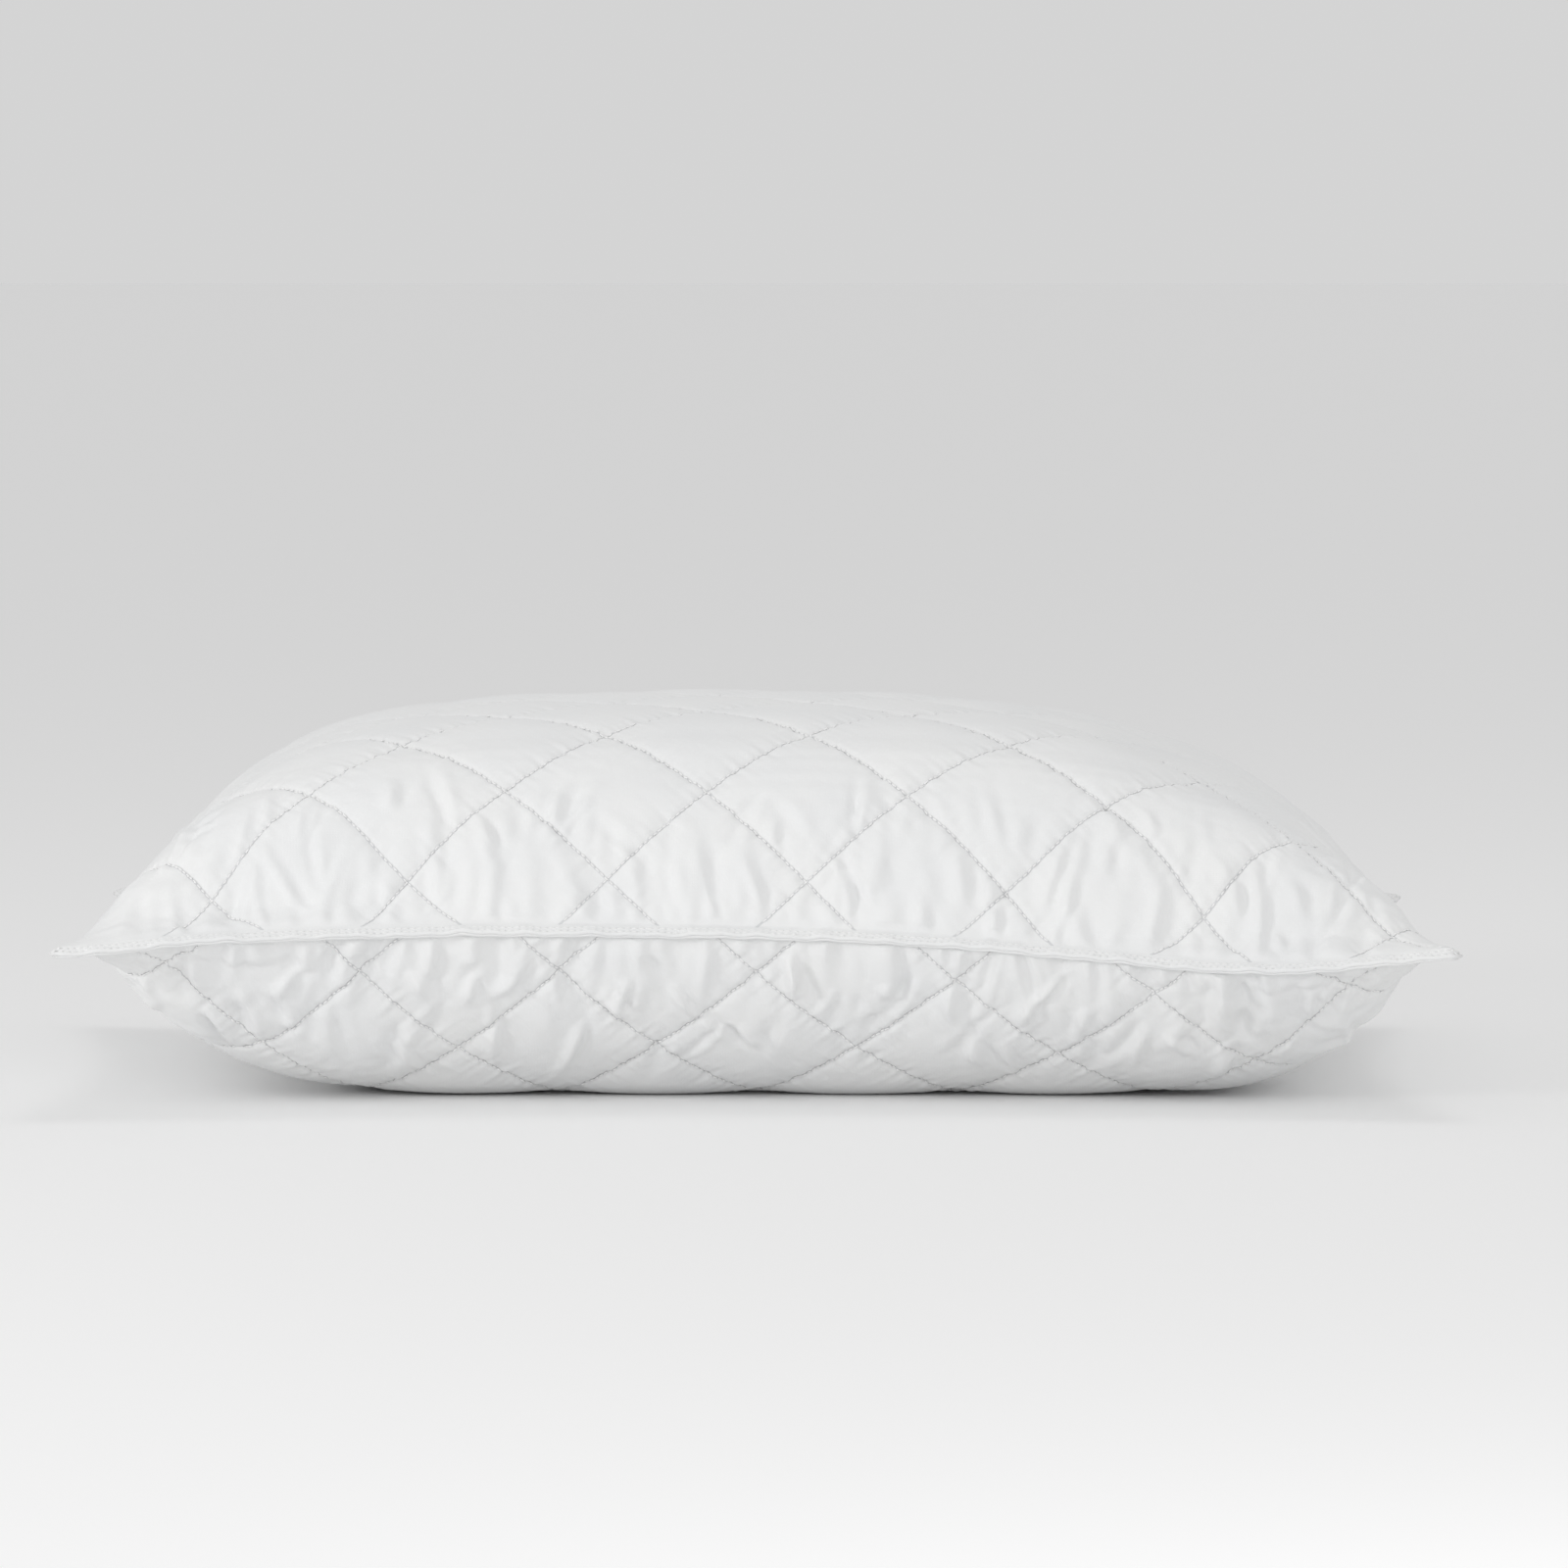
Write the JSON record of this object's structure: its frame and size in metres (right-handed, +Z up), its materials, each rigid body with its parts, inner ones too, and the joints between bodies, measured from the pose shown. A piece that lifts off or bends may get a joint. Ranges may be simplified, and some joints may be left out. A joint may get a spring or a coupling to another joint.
{
  "type": "bed pillow",
  "caption": "Quilted white cotton bed pillow, diamond stitched on both faces, with a topstitched flanged edge and polyester fibre fill, lying flat.",
  "frame": {"origin": "on the resting surface, under the middle of the pillow", "axes": "+X along the pillow's length, +Y across it towards the seam with the label, +Z up from the resting surface"},
  "size_m": [0.664, 0.472, 0.1874],
  "materials": {
    "face_cotton": "matt white cotton percale, plain weave",
    "backing_cloth": "thin matt white non-woven cloth",
    "polyester_wadding": "matt white bonded polyester wadding",
    "polyester_fibre": "loose matt white polyester fibre",
    "sewing_thread": "white spun polyester sewing thread",
    "label_ribbon": "smooth white satin label ribbon, blank"
  },
  "bodies": {
    "root": {"top_face_cloth": "face_cotton", "bottom_face_cloth": "face_cotton", "top_backing_cloth": "backing_cloth", "bottom_backing_cloth": "backing_cloth", "top_wadding": "polyester_wadding", "bottom_wadding": "polyester_wadding", "fibre_fill": "polyester_fibre", "top_quilting_needle_thread": "sewing_thread", "bottom_quilting_needle_thread": "sewing_thread", "top_quilting_bobbin_thread": "sewing_thread", "bottom_quilting_bobbin_thread": "sewing_thread", "edge_topstitch_needle_thread": "sewing_thread", "edge_topstitch_bobbin_thread": "sewing_thread", "closing_seam_thread": "sewing_thread", "main_seam_thread": "sewing_thread", "care_label": "label_ribbon"}
  },
  "joints": []
}
